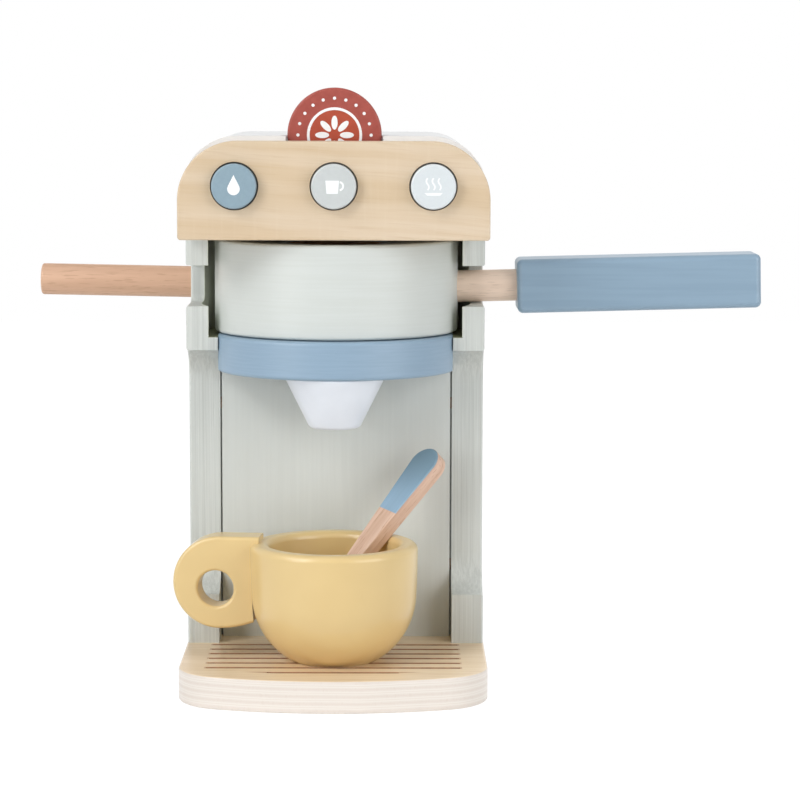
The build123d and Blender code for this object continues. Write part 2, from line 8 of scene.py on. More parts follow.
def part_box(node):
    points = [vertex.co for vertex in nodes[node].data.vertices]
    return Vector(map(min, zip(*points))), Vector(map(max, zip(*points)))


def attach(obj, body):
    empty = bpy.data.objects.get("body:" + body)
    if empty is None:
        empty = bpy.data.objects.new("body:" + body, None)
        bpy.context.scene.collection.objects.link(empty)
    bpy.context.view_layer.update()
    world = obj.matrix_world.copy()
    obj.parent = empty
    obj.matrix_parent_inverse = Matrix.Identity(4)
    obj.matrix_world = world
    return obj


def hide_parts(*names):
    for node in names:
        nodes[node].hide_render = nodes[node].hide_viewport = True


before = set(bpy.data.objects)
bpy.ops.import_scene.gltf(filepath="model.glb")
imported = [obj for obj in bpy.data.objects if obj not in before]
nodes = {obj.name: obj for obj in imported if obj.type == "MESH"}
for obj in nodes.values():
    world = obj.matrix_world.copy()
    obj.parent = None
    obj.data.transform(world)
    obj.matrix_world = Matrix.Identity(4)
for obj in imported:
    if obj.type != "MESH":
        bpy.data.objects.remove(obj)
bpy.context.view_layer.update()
MM = 0.001

# ---------------------------------------------------------------- camera
# A long lens a metre in front of the toy, a little above its roof and a little
# to the right of its middle, tipped down so that the base shows its top.
LENS = 119.25
SENSOR = 36.0
EYE = Vector((20.0, -1023.6, 225.9)) * MM
TIP_DOWN = radians(6.78)
TURN_RIGHT = radians(0.265)
ROLL = radians(0.15)


def linked(name, data):
    """A new object of the scene that holds a camera, a lamp or a mesh."""
    thing = bpy.data.objects.new(name, data)
    bpy.context.scene.collection.objects.link(thing)
    return thing


camera = linked("camera", bpy.data.cameras.new("camera"))
camera.data.lens = LENS
camera.data.sensor_width = SENSOR
camera.data.clip_start = 0.01
camera.matrix_world = (Matrix.Translation(EYE) @ Matrix.Rotation(-TURN_RIGHT, 4, "Z")
                       @ Matrix.Rotation(pi / 2 - TIP_DOWN, 4, "X") @ Matrix.Rotation(ROLL, 4, "Z"))
bpy.context.scene.camera = camera

# ---------------------------------------------------------------- studio
# Six soft lamps: three on the left that work as one tall key, a broad fill on the
# right, one above and one behind. The even world round them shows as plain white.
bpy.context.scene.view_settings.view_transform = "Standard"


def soft_lamp(name, place, aim, size, watts, mirrored=True):
    """One square area lamp that looks at a point; mirrored says if it shows in reflections."""
    lamp = linked(name, bpy.data.lights.new(name, "AREA"))
    lamp.data.size = size
    lamp.data.energy = watts
    lamp.location = place
    lamp.visible_glossy = mirrored
    lamp.rotation_euler = (Vector(aim) - Vector(place)).to_track_quat("-Z", "Y").to_euler()


TOY_MIDDLE = (0.0, 0.0, 0.11)
soft_lamp("key", (-0.75, -0.85, 0.95), TOY_MIDDLE, 0.5, 5.5)
soft_lamp("key_side", (-1.15, -0.55, 1.05), TOY_MIDDLE, 0.5, 4.3)
soft_lamp("key_low", (-0.95, -0.95, 0.35), TOY_MIDDLE, 0.5, 4.4)
soft_lamp("fill", (0.95, -0.80, 0.45), TOY_MIDDLE, 0.9, 7.8)
soft_lamp("top", (0.10, -0.25, 1.30), TOY_MIDDLE, 0.8, 3.0, mirrored=False)
soft_lamp("back", (0.6, 1.3, 0.9), TOY_MIDDLE, 0.9, 10.0, mirrored=False)
AMBIENT = 0.13


class Signal:
    """A socket of a node tree; arithmetic on it adds the Math nodes."""

    def __init__(self, tree, socket):
        self.tree = tree
        self.socket = socket

    def maths(self, operation, *others):
        values = {0: self, **{index + 1: other for index, other in enumerate(others)}}
        return self.tree.node("ShaderNodeMath", {"operation": operation}, values)[0]

    def __add__(self, other):
        return self.maths("ADD", other)

    def __mul__(self, other):
        return self.maths("MULTIPLY", other)

    def __sub__(self, other):
        return self.maths("SUBTRACT", other)

    def __rsub__(self, other):
        return self * -1.0 + other

    def __truediv__(self, other):
        return self.maths("DIVIDE", other)

    __radd__ = __add__
    __rmul__ = __mul__

    def size(self):
        return self.maths("ABSOLUTE")

    def highest(self, other):
        return self.maths("MAXIMUM", other)

    def step(self, low, high):
        """0 below low, 1 above high, smooth between."""
        settings = {"interpolation_type": "SMOOTHSTEP"}
        values = {"Value": self, "From Min": low, "From Max": high}
        return self.tree.node("ShaderNodeMapRange", settings, values)[0]

    def fall(self, low, high):
        """1 below low, 0 above high, smooth between."""
        return 1 - self.step(low, high)


class Tree:
    """A shader node tree under construction, for a material or for the world."""

    def __init__(self, node_tree):
        self.node_tree = node_tree
        self.node_tree.nodes.clear()

    def node(self, kind, settings=None, values=None):
        """Adds a node: its settings first, then values or links; returns its outputs."""
        made = self.node_tree.nodes.new(kind)
        for name, value in (settings or {}).items():
            setattr(made, name, value)
        for key, value in (values or {}).items():
            if isinstance(value, Signal):
                self.node_tree.links.new(value.socket, made.inputs[key])
            else:
                made.inputs[key].default_value = value
        return [Signal(self, output) for output in made.outputs]


CAMERA_RAY, GLOSSY_RAY, TRANSMITTED_RAY = 0, 3, 6


def looked_at(tree):
    """1 for rays from the camera, straight or by way of a mirror or a clear body, and 0 for light."""
    ray = tree.node("ShaderNodeLightPath")
    return ray[CAMERA_RAY].highest(ray[GLOSSY_RAY]).highest(ray[TRANSMITTED_RAY])


world = bpy.data.worlds.new("studio")
world.use_nodes = True
bpy.context.scene.world = world
sky = Tree(world.node_tree)
strength = looked_at(sky) * (1 - AMBIENT) + AMBIENT
glow = sky.node("ShaderNodeBackground", None, {"Color": (1, 1, 1, 1), "Strength": strength})[0]
sky.node("ShaderNodeOutputWorld", None, {"Surface": glow})


# ---------------------------------------------------------------- table top
# A plain white sheet under the toy. It is lit to white and keeps only a trace
# of the shadow at the base.
def linear(red, green, blue):
    """A colour on the 0 to 255 display scale, as the linear values of a shader."""
    def channel(value):
        value /= 255
        return value / 12.92 if value <= 0.04045 else ((value + 0.055) / 1.055) ** 2.4
    return (channel(red), channel(green), channel(blue), 1.0)


SHEET_SIZE = 3.0
SHEET_SHADOW = 0.1
SHEET_WHITE = 1.1


def sheet_of_paper():
    """White that the camera sees as light, mixed with a little matt paper that takes shadow."""
    material = bpy.data.materials.new("white_sheet")
    material.use_nodes = True
    paper = Tree(material.node_tree)
    matt = paper.node("ShaderNodeBsdfDiffuse", None, {"Color": linear(245, 245, 245)})[0]
    white = paper.node("ShaderNodeEmission", None, {"Color": (1, 1, 1, 1), "Strength": SHEET_WHITE})[0]
    amount = looked_at(paper) * (1 - SHEET_SHADOW)
    surface = paper.node("ShaderNodeMixShader", None, {0: amount, 1: matt, 2: white})[0]
    paper.node("ShaderNodeOutputMaterial", None, {"Surface": surface})
    return material


bpy.ops.mesh.primitive_plane_add(size=SHEET_SIZE, location=(0, 0, 0))
sheet = bpy.context.object
sheet.name = "table_sheet"
sheet.data.materials.append(sheet_of_paper())


# ---------------------------------------------------------------- base plate
# Birch plywood with a bowed front edge, sanded and clear coated. Thin plies show
# along its edge, and the lines of the drip grid are burnt into the top. Colours
# change within a HAIR or SOFT of an edge.
class Finish(Tree):
    """A material of bare or painted wood or of metal, read in the object's own coordinates."""

    def __init__(self, name):
        self.material = bpy.data.materials.new(name)
        self.material.use_nodes = True
        super().__init__(self.material.node_tree)
        self.place = self.node("ShaderNodeTexCoord")[3]
        self.x, self.y, self.z = self.node("ShaderNodeSeparateXYZ", None, {0: self.place})

    def fibres(self, density, detail=3.0, roughness=0.55, place=None):
        """Noise with its own density, in features per metre, along X, Y and Z."""
        stretched = self.node("ShaderNodeVectorMath", {"operation": "MULTIPLY"},
                              {0: place or self.place, 1: density})[0]
        values = {"Vector": stretched, "Scale": 1.0, "Detail": detail, "Roughness": roughness}
        return self.node("ShaderNodeTexNoise", None, values)[0]

    def blend(self, amount, first, second):
        """Mixes two colours by a signal."""
        settings = {"data_type": "RGBA"}
        return self.node("ShaderNodeMix", settings, {0: amount, 6: first, 7: second})[2]

    def from_axis(self, across, along):
        """The distance from an axis, out of two distances at right angles."""
        return (across * across + along * along).maths("SQRT")

    def finish(self, colour, roughness, height=None, depth=0.0, coat=0.0, coat_roughness=0.3,
               metallic=0.0):
        """Joins colour, roughness and an optional bump to the shader."""
        values = {"Base Color": colour, "Roughness": roughness, "Metallic": metallic,
                  "Coat Weight": coat, "Coat Roughness": coat_roughness, "Specular IOR Level": 0.4}
        if height is not None:
            bump = {"Height": height, "Distance": depth, "Strength": 1.0}
            values["Normal"] = self.node("ShaderNodeBump", None, bump)[0]
        surface = self.node("ShaderNodeBsdfPrincipled", None, values)[0]
        self.node("ShaderNodeOutputMaterial", None, {"Surface": surface})
        return self.material


def dress(piece, material):
    """Gives a piece its one material."""
    piece.data.materials.clear()
    piece.data.materials.append(material)


def wear(node, material):
    """Gives a CAD piece its one material."""
    dress(nodes[node], material)


BASE_LOW, BASE_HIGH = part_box("base_plate")
PLIES = 9
GRID_HALF = 47.5 * MM
NOSE_RADIUS = 140.0 * MM
NOSE_MARGIN = 12.0 * MM
FIRST_LINE_GAP = 3.4 * MM
FIRST_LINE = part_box("left_side_panel")[0].y - FIRST_LINE_GAP
LINE_PITCH = 8.13 * MM
GROOVE_DEPTH = 0.4 * MM
SCORCH_START, SCORCH_END = 0.7 * MM, 1.9 * MM
GRID_REAR = FIRST_LINE + 2.0 * MM
HAIR, SOFT = 0.05 * MM, 0.3 * MM


def drip_grid(wood):
    """1 inside the outline of the drip grid as seen from above: sides, bowed nose and rear."""
    reach = wood.from_axis(wood.x, wood.y - (BASE_LOW.y + NOSE_RADIUS))
    nose = NOSE_RADIUS - NOSE_MARGIN
    return wood.x.size().fall(GRID_HALF, GRID_HALF + SOFT) * reach.fall(nose, nose + SOFT) * (
        wood.y.fall(GRID_REAR, GRID_REAR + MM))


def plywood():
    """Plies round the edge, long grain on the broad faces, and lines burnt into the top."""
    wood = Finish("plywood")
    ply = wood.z * (PLIES / (BASE_HIGH.z - BASE_LOW.z)) + wood.fibres((45, 45, 0), 2.0) * 0.5
    end_grain = ply.maths("PINGPONG", 1.0).step(0.35, 0.65)
    glue_line = ply.maths("PINGPONG", 0.5).fall(0.02, 0.14)
    pores = wood.fibres((1500, 1500, 500), 3.0)
    edge = wood.blend(end_grain, linear(236, 229, 221), linear(229, 220, 211))
    edge = wood.blend(pores.step(0.5, 0.75) * end_grain * 0.5, edge, linear(220, 208, 197))
    edge = wood.blend(glue_line * 0.45, edge, linear(218, 204, 192))
    broad = wood.fibres((10, 110, 110))
    fine = wood.fibres((40, 1200, 1200), 4.0)
    silk = wood.fibres((420, 25, 420), 2.0)
    face = wood.blend(broad.step(0.3, 0.7), linear(243, 223, 193), linear(235, 212, 178))
    face = wood.blend(fine.step(0.35, 0.75) * 0.4, face, linear(207, 175, 134))
    face = wood.blend(silk.step(0.45, 0.75) * 0.3, face, linear(236, 216, 187))
    grid = drip_grid(wood)
    off_line = ((wood.y - FIRST_LINE) / LINE_PITCH).maths("PINGPONG", 0.5) * LINE_PITCH
    scorch = off_line.fall(SCORCH_START, SCORCH_END) * grid
    face = wood.blend(scorch * (silk * 0.5 + 0.45), face, linear(178, 124, 78))
    groove_floor = wood.z.step(BASE_HIGH.z - 2 * GROOVE_DEPTH, BASE_HIGH.z - 1.5 * GROOVE_DEPTH)
    groove = wood.z.fall(BASE_HIGH.z - 5 * HAIR, BASE_HIGH.z - HAIR) * groove_floor * grid
    char = wood.blend(silk.step(0.3, 0.7), linear(138, 78, 40), linear(104, 56, 26))
    upper = wood.z.step(BASE_HIGH.z - SOFT, BASE_HIGH.z - HAIR)
    under = wood.z.fall(BASE_LOW.z + HAIR, BASE_LOW.z + SOFT)
    colour = wood.blend(upper.highest(under).highest(groove), edge, face)
    colour = wood.blend(groove, colour, char)
    return wood.finish(colour, fine * 0.15 + 0.36, fine, 0.00003, coat=0.4, coat_roughness=0.22)


wear("base_plate", plywood())


# ---------------------------------------------------------------- body panels
# Two C-shaped side panels and two cross panels, softwood boards under one matt
# coat of sage paint. The grain still stands through it, along the boards.
def toned(tone, change=0):
    """A display colour with the same step added to each channel, for a shader."""
    return linear(*[min(255, value + change) for value in tone])


SAGE = (212, 216, 212)
DRUM_LOW, DRUM_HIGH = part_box("portafilter_drum")
SCOOP_AIR = 5.0 * MM
SCOOP_DROP = 1.3 * MM
SCOOP_RADIUS = (DRUM_HIGH.x - DRUM_LOW.x) / 2 + SCOOP_AIR
SCOOP_FLOOR = DRUM_LOW.z - SCOOP_DROP


def sage_paint(name, density, grain, scoop_shade=False):
    """Matt paint: density sets the direction of the grain and grain how much it shows.

    The last flag adds painted shade in the scoop that the drum turns in: a yellowish green on its walls and a
    darker green on its floor.
    """
    paint = Finish(name)
    ridges = paint.fibres(density, 4.0, 0.6)
    cloud = paint.fibres((18, 18, 18), 2.0)
    colour = paint.blend(ridges.step(0.35, 0.65), toned(SAGE, -13 * grain - 2), toned(SAGE))
    colour = paint.blend(cloud.step(0.3, 0.7) * 0.35, colour, toned(SAGE, -5))
    if scoop_shade:
        # Painted shade in the scoop beside the drum: its walls tinted a yellowish green, where little light
        # gets in.
        reach = paint.from_axis(paint.x, paint.y)
        above_floor = paint.z.step(SCOOP_FLOOR - 4 * HAIR, SCOOP_FLOOR - HAIR)
        scoop_shade_mask = reach.fall(SCOOP_RADIUS + HAIR, SCOOP_RADIUS + SOFT) * above_floor
        painted_olive_shade = paint.blend(ridges.step(0.35, 0.65), linear(216, 219, 200), linear(224, 227, 210))
        # Painted shade, darker still, on the floor of the scoop.
        floor = paint.z.fall(SCOOP_FLOOR + 2 * HAIR, SCOOP_FLOOR + 8 * HAIR)
        painted_olive_shade = paint.blend(floor, painted_olive_shade, linear(150, 154, 126))
        colour = paint.blend(scoop_shade_mask, colour, painted_olive_shade)
    return paint.finish(colour, ridges * 0.1 + 0.5, ridges, 0.00025 * grain, coat=0.05)


grained_sage = sage_paint("sage_paint_grained", (850, 420, 9), 1.0)
sage_with_scoop_shade = sage_paint("sage_paint_with_scoop_shade", (850, 420, 9), 1.0, scoop_shade=True)
smooth_sage = sage_paint("sage_paint_smooth", (420, 420, 14), 0.12)
# The side panels carry painted shade in their scoops beside the drum.
wear("left_side_panel", sage_with_scoop_shade)
wear("right_side_panel", sage_with_scoop_shade)
wear("back_panel", smooth_sage)
wear("rear_panel", grained_sage)


# ---------------------------------------------------------------- head
# The hood is a thin board bent round the head and sprayed white. The fascia in
# front of it is bare pale wood with a clear coat, its grain lying crosswise.
def white_paint(name, tone, roughness, coat):
    """Sprayed paint with a faint cloud in its tone and a fine orange peel."""
    paint = Finish(name)
    cloud = paint.fibres((60, 60, 60), 3.0)
    orange_peel = paint.fibres((900, 900, 900), 2.0)
    colour = paint.blend(cloud.step(0.3, 0.7), toned(tone), toned(tone, -5))
    return paint.finish(colour, roughness, orange_peel, 0.00003, coat=coat)


HOLE_RADIUS = 8.75 * MM
BUTTON_LOW, BUTTON_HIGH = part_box("right_button")
HOLE_PITCH = (BUTTON_LOW.x + BUTTON_HIGH.x) / 2
HOLE_HEIGHT = (BUTTON_LOW.z + BUTTON_HIGH.z) / 2


def fascia_wood():
    """Long slanting grain, and painted shade on the walls of the button holes."""
    wood = Finish("fascia_wood")
    sag = wood.z + wood.x * 0.06 + wood.fibres((22, 0, 30), 1.0) * 0.003
    leant = wood.node("ShaderNodeCombineXYZ", None, {0: wood.x, 1: wood.y, 2: sag})[0]
    figure = wood.fibres((6, 90, 90), 3.0, 0.5, place=leant)
    bands = wood.fibres((10, 300, 300), 3.0, place=leant)
    fine = wood.fibres((60, 1700, 1700), 4.0, place=leant)
    silk = wood.fibres((500, 60, 40), 2.0)
    colour = wood.blend(figure.step(0.28, 0.72), linear(217, 199, 175), linear(204, 180, 146))
    colour = wood.blend(bands.step(0.42, 0.75) * 0.4, colour, linear(200, 172, 133))
    colour = wood.blend(fine.step(0.5, 0.8) * 0.35, colour, linear(188, 158, 120))
    colour = wood.blend(silk.step(0.5, 0.75) * 0.12, colour, linear(224, 210, 188))
    # Painted shade: the walls of the three holes are dark, for the shade in the gap round each button.
    from_nearest_hole = (wood.x.size() - HOLE_PITCH / 2).size() - HOLE_PITCH / 2
    reach = wood.from_axis(from_nearest_hole, wood.z - HOLE_HEIGHT)
    hole_wall_shade = reach.fall(HOLE_RADIUS + HAIR, HOLE_RADIUS + 5 * HAIR)
    colour = wood.blend(hole_wall_shade, colour, linear(62, 44, 32))
    return wood.finish(colour, fine * 0.12 + 0.4, fine, 0.00002, coat=0.15)


SLOT_OPEN_LENGTH = 36.2 * MM
ROOF_THICKNESS = 6.0 * MM
SAW_DEPTH = 1.5 * MM
SHARP_EDGE = radians(30)
WELD = 0.001 * MM


def mesh_from(shape, name):
    """The mesh of a finished bmesh, which is freed."""
    mesh = bpy.data.meshes.new(name)
    shape.to_mesh(mesh)
    shape.free()
    return mesh


def evaluated_mesh(thing):
    """The mesh of an object with its modifiers applied."""
    bpy.context.view_layer.update()
    graph = bpy.context.evaluated_depsgraph_get()
    return bpy.data.meshes.new_from_object(thing.evaluated_get(graph))


def saw_block(low, high):
    """A plain box between two corners."""
    bpy.ops.mesh.primitive_cube_add(size=1.0)
    block = bpy.context.object
    block.location = (low + high) / 2
    block.scale = high - low
    return block


def open_slot_hood(material):
    """The hood with its coin slot sawn on through the front edge, where the fascia closes it."""
    low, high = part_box("head_hood")
    shell = bmesh.new()
    shell.from_mesh(nodes["head_hood"].data)
    bmesh.ops.remove_doubles(shell, verts=shell.verts, dist=WELD)
    bmesh.ops.recalc_face_normals(shell, faces=shell.faces)
    hood = linked("open_slot_hood", mesh_from(shell, "open_slot_hood"))
    hood.data.shade_smooth()
    hood.data.set_sharp_from_angle(angle=SHARP_EDGE)
    saw_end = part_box("coffee_coin")[0].y + SAW_DEPTH
    saw = saw_block(Vector((-SLOT_OPEN_LENGTH / 2, low.y - MM, high.z - ROOF_THICKNESS - MM)),
                    Vector((SLOT_OPEN_LENGTH / 2, saw_end, high.z + MM)))
    cut = hood.modifiers.new("cut", "BOOLEAN")
    cut.operation = "DIFFERENCE"
    cut.solver = "EXACT"
    cut.object = saw
    hood.modifiers.new("shade", "WEIGHTED_NORMAL").keep_sharp = True
    hood.data = evaluated_mesh(hood)
    hood.modifiers.clear()
    bpy.data.objects.remove(saw)
    dress(hood, material)
    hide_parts("head_hood")
    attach(hood, "housing")


open_slot_hood(white_paint("white_paint_satin", (234, 235, 236), 0.45, 0.1))
wear("head_back", white_paint("white_paint_back", (234, 235, 236), 0.45, 0.1))
wear("fascia", fascia_wood())


# ---------------------------------------------------------------- hidden boards
# The floor of the head, the plate behind the buttons and the block that holds
# the coin stay bare: plywood, hardboard and beech.
def beech(name, grain, tone=(207, 172, 146)):
    """Bare beech; grain holds its density along X, Y and Z and the fleck density."""
    wood = Finish(name)
    streaks, flecks = grain
    broad = wood.fibres(streaks, 3.0)
    fleck = wood.fibres(flecks, 2.0, 0.5)
    colour = wood.blend(broad.step(0.3, 0.7), toned(tone, 12), toned(tone))
    colour = wood.blend(fleck.step(0.56, 0.68) * 0.55, colour, toned(tone, -22))
    return wood.finish(colour, broad * 0.1 + 0.5, fleck, 0.00004)


GRAIN_X = ((20, 300, 300), (140, 1500, 1500))
GRAIN_Z = ((300, 300, 20), (1500, 1500, 140))
beech_along = beech("beech_along", GRAIN_X)
wear("head_floor", beech("floor_board", GRAIN_X, (214, 193, 163)))
wear("button_plate", beech("hardboard", GRAIN_X, (140, 108, 80)))
wear("coin_holder", beech_along)


# ---------------------------------------------------------------- buttons
# Three turned caps in the fascia, each sprayed in its own tone, with a small
# white print on its face: a drop, a mug and three strokes of steam.
def spray_paint(name, tone, roughness=0.42, coat=0.15, density=(700, 700, 700), grain=0.15):
    """Smooth satin paint with a trace of the turned or sanded surface."""
    paint = Finish(name)
    texture = paint.fibres(density, 3.0)
    colour = paint.blend(texture.step(0.35, 0.65), toned(tone, -12 * grain - 1), toned(tone))
    return paint.finish(colour, texture * 0.08 + roughness, texture, 0.0001 * grain, coat=coat)


wear("left_button", spray_paint("button_blue", (138, 161, 174)))
wear("middle_button", spray_paint("button_grey", (197, 202, 202)))
wear("right_button", spray_paint("button_ice", (213, 220, 223)))
PRINT_LIFT = 0.06 * MM
ROUND_STEPS = 24


def arc(centre, radius, start, end, steps=ROUND_STEPS):
    """Points of a circle from one angle to another, in degrees."""
    angles = [radians(start + (end - start) * step / steps) for step in range(steps + 1)]
    return [(centre[0] + radius * cos(a), centre[1] + radius * sin(a)) for a in angles]


def print_on_front(name, outlines, centre, face_y, material, body):
    """Lays closed outlines, in millimetres, as a thin skin on a face that looks to -Y."""
    skin = bmesh.new()
    for outline in outlines:
        front, rear = [[skin.verts.new((centre.x + u * MM, face_y + depth, centre.z + v * MM))
                        for u, v in outline] for depth in (-PRINT_LIFT, PRINT_LIFT)]
        skin.faces.new(front)
        skin.faces.new(rear[::-1])
        for index in range(len(outline)):
            skin.faces.new((front[index], front[index - 1], rear[index - 1], rear[index]))
    bmesh.ops.recalc_face_normals(skin, faces=skin.faces)
    piece = linked(name, mesh_from(skin, name))
    dress(piece, material)
    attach(piece, body)


def stroke(points, width):
    """The outline of a line of even width with square ends, along some points."""
    left, right = [], []
    for index, point in enumerate(points):
        before, after = points[max(index - 1, 0)], points[min(index + 1, len(points) - 1)]
        run = Vector((after[0] - before[0], after[1] - before[1])).normalized() * width / 2
        left.append((point[0] - run.y, point[1] + run.x))
        right.append((point[0] + run.y, point[1] - run.x))
    return left + right[::-1]


def drop_print():
    """A water drop with its point up."""
    return [arc((0, -0.9), 2.3, -205, 25) + [(0, 4.2)]]


def mug_print():
    """A straight mug with a ring handle."""
    mug = [(-3.0, 2.2), (-2.6, -2.6), (1.6, -2.6), (2.0, 2.2)]
    return [mug, stroke(arc((2.0, 0.2), 1.5, 80, -80, 12), 0.7)]


def steam_print():
    """Three strokes of steam over a flat saucer."""
    wave = [(0.5 * sin(step / 8 * 2 * pi), step / 8 * 4.4 - 1.2) for step in range(9)]
    strokes = [stroke([(x + shift, y) for x, y in wave], 0.6) for shift in (-2.2, 0.0, 2.2)]
    return strokes + [[(-3.4, -2.2), (-2.4, -3.2), (2.4, -3.2), (3.4, -2.2)]]


print_white = spray_paint("print_white", (244, 246, 248), 0.5, 0.0)
for side, motif in (("left", drop_print()), ("middle", mug_print()), ("right", steam_print())):
    low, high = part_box(f"{side}_button")
    print_on_front(f"{side}_button_print", motif, (low + high) / 2, low.y, print_white, f"{side}_button")

# ---------------------------------------------------------------- coin
# A round wooden coin, sprayed brick red on its rim and orange red inside a white
# printed ring, with a rosette of petals in the middle and a row of dots outside.
COIN_LOW, COIN_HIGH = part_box("coffee_coin")
COIN_MIDDLE = (COIN_LOW + COIN_HIGH) / 2
RING_RADIUS = 9.75 * MM
RING_WIDTH = 1.0 * MM
RING_STEPS = 96
DOT_RING = 13.6 * MM
DOTS = 20
PETALS = 8


def coin_paint():
    """Two reds that meet under the white ring."""
    paint = Finish("coin_red")
    reach = paint.from_axis(paint.x, paint.z - COIN_MIDDLE.z)
    texture = paint.fibres((260, 260, 260), 3.0)
    rim = paint.blend(texture.step(0.3, 0.7), linear(164, 79, 69), linear(154, 72, 62))
    heart = paint.blend(texture.step(0.3, 0.7), linear(174, 75, 51), linear(166, 70, 46))
    colour = paint.blend(reach.step(RING_RADIUS, RING_RADIUS + 0.1 * MM), heart, rim)
    return paint.finish(colour, 0.5, texture, 0.00003, coat=0.08)


wear("coffee_coin", coin_paint())


def tree_node(tree, kind, settings=None, values=None):
    """One geometry node with its settings and its values or links; returns the node."""
    made = tree.nodes.new(kind)
    for name, value in (settings or {}).items():
        setattr(made, name, value)
    for key, value in (values or {}).items():
        if isinstance(value, bpy.types.NodeSocket):
            tree.links.new(value, made.inputs[key])
        else:
            made.inputs[key].default_value = value
    return made


def open_tree(name, inputs):
    """A new geometry tree with these named inputs; returns it with the sockets that give them."""
    tree = bpy.data.node_groups.new(name, "GeometryNodeTree")
    tree.interface.new_socket("Geometry", in_out="OUTPUT", socket_type="NodeSocketGeometry")
    for label, kind in inputs.items():
        tree.interface.new_socket(label, in_out="INPUT", socket_type="NodeSocket" + kind)
    return tree, tree.nodes.new("NodeGroupInput").outputs


def close_tree(tree, shape, material):
    """Gives the geometry its material and makes it what the tree puts out."""
    dressed = tree_node(tree, "GeometryNodeSetMaterial", None, {"Geometry": shape, "Material": material})
    tree_node(tree, "NodeGroupOutput", None, {0: dressed.outputs[0]})
    return tree


def petal_ring_tree():
    """Round discs or petals, evenly spaced on a ring in the XZ plane."""
    tree, given = open_tree("petal_ring", {"Count": "Int", "Ring Radius": "Float", "Length": "Float",
                                           "Width": "Float", "Thickness": "Float", "Finish": "Material"})
    ring = tree_node(tree, "GeometryNodeMeshCircle", None,
                     {"Vertices": given["Count"], "Radius": given["Ring Radius"]})
    spot = tree_node(tree, "GeometryNodeInputPosition")
    turn = tree_node(tree, "FunctionNodeAlignRotationToVector", {"axis": "X"}, {"Vector": spot.outputs[0]})
    disc = tree_node(tree, "GeometryNodeMeshCylinder", None, {"Vertices": 20, "Radius": 1.0, "Depth": 1.0})
    size = tree_node(tree, "ShaderNodeCombineXYZ", None,
                     {"X": given["Length"], "Y": given["Width"], "Z": given["Thickness"]})
    petal = tree_node(tree, "GeometryNodeTransform", None,
                      {"Geometry": disc.outputs[0], "Scale": size.outputs[0]})
    placed = tree_node(tree, "GeometryNodeInstanceOnPoints", None,
                       {"Points": ring.outputs[0], "Instance": petal.outputs[0], "Rotation": turn.outputs[0]})
    solid = tree_node(tree, "GeometryNodeRealizeInstances", None, {"Geometry": placed.outputs[0]})
    upright = tree_node(tree, "GeometryNodeTransform", None,
                        {"Geometry": solid.outputs[0], "Rotation": (pi / 2, 0, 0)})
    return close_tree(tree, upright.outputs[0], given["Finish"])


def grown(name, tree, values, place, points=()):
    """Runs a geometry tree on some points with named inputs and keeps the result as a plain mesh."""
    seed = linked(name + "_seed", bpy.data.meshes.new(name + "_seed"))
    seed.data.from_pydata(points, [], [])
    modifier = seed.modifiers.new("tree", "NODES")
    modifier.node_group = tree
    for item in tree.interface.items_tree:
        if item.in_out == "INPUT" and item.name in values:
            modifier[item.identifier] = values[item.name]
    mesh = evaluated_mesh(seed)
    bpy.data.objects.remove(seed)
    mesh.transform(Matrix.Translation(place))
    return linked(name, mesh)


petal_ring = petal_ring_tree()


def coin_ring(name, face_y):
    """The flat white ring on one face of the coin."""
    ring = bmesh.new()
    turns = [2 * pi * step / RING_STEPS for step in range(RING_STEPS)]
    loops = []
    for radius in (RING_RADIUS - RING_WIDTH / 2, RING_RADIUS + RING_WIDTH / 2):
        for depth in (-PRINT_LIFT, PRINT_LIFT):
            loops.append([ring.verts.new((radius * cos(turn), face_y + depth,
                                          COIN_MIDDLE.z + radius * sin(turn))) for turn in turns])
    for first, second in ((0, 1), (1, 3), (3, 2), (2, 0)):
        for step in range(RING_STEPS):
            after = (step + 1) % RING_STEPS
            ring.faces.new((loops[first][step], loops[first][after],
                            loops[second][after], loops[second][step]))
    bmesh.ops.recalc_face_normals(ring, faces=ring.faces)
    piece = linked(name, mesh_from(ring, name))
    dress(piece, print_white)
    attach(piece, "coin")


for side, face_y in (("front", COIN_LOW.y), ("rear", COIN_HIGH.y)):
    place = Vector((0, face_y, COIN_MIDDLE.z))
    coin_ring(f"coin_ring_{side}", face_y)
    petals = {"Count": PETALS, "Ring Radius": 4.6 * MM, "Length": 2.6 * MM, "Width": 1.15 * MM,
              "Thickness": 2 * PRINT_LIFT, "Finish": print_white}
    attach(grown(f"coin_rosette_{side}", petal_ring, petals, place), "coin")
    dots = {"Count": DOTS, "Ring Radius": DOT_RING, "Length": 0.6 * MM, "Width": 0.6 * MM,
            "Thickness": 2 * PRINT_LIFT, "Finish": print_white}
    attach(grown(f"coin_dots_{side}", petal_ring, dots, place), "coin")

# ---------------------------------------------------------------- spout
# A half-round shelf cut from board and painted dusty blue, with a turned funnel
# below it that is sprayed in glossy white.
wear("spout_shelf", spray_paint("shelf_blue", (142, 167, 188), 0.36, 0.25, (60, 60, 1400), 0.25))
wear("funnel", white_paint("white_paint_gloss", (232, 238, 247), 0.28, 0.4))

# ---------------------------------------------------------------- filter drum
# A turned drum with a drilled well, in the same sage as the body. The well was
# masked when the drum was sprayed, so its wall and floor are bare brown wood.
WELL_RADIUS = 19.2 * MM
WELL_MARGIN = 5.2 * MM


